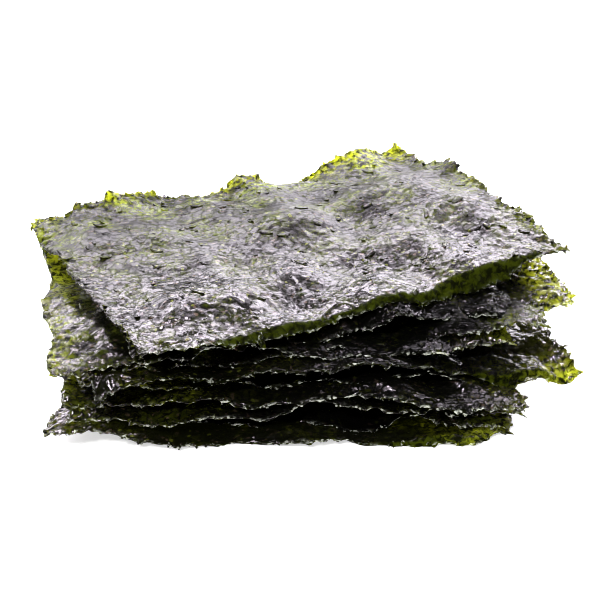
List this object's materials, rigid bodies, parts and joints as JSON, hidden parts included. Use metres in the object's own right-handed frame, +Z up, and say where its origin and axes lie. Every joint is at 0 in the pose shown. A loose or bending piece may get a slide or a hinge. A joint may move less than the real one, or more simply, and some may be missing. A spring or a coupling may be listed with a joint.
{
  "type": "roasted seaweed snack",
  "caption": "Loose fanned stack of thin, wavy, crisp roasted seaweed sheets with torn rims, dark green with a pale glossy sheen.",
  "frame": {"origin": "on the table under the middle of the stack's bounding box", "axes": "+X along the mean long side of the sheets, +Y away from the viewer, +Z up through the stack"},
  "size_m": [0.0996, 0.0922, 0.0238],
  "materials": {
    "seaweed": "oiled crinkled film with a pale glossy sheen, yellow-green where it is thin"
  },
  "bodies": {
    "root": {"sheet_01": "seaweed", "sheet_02": "seaweed", "sheet_03": "seaweed", "sheet_04": "seaweed", "sheet_05": "seaweed", "sheet_06": "seaweed", "sheet_07": "seaweed", "sheet_08": "seaweed", "sheet_09": "seaweed", "sheet_10": "seaweed"}
  },
  "joints": []
}
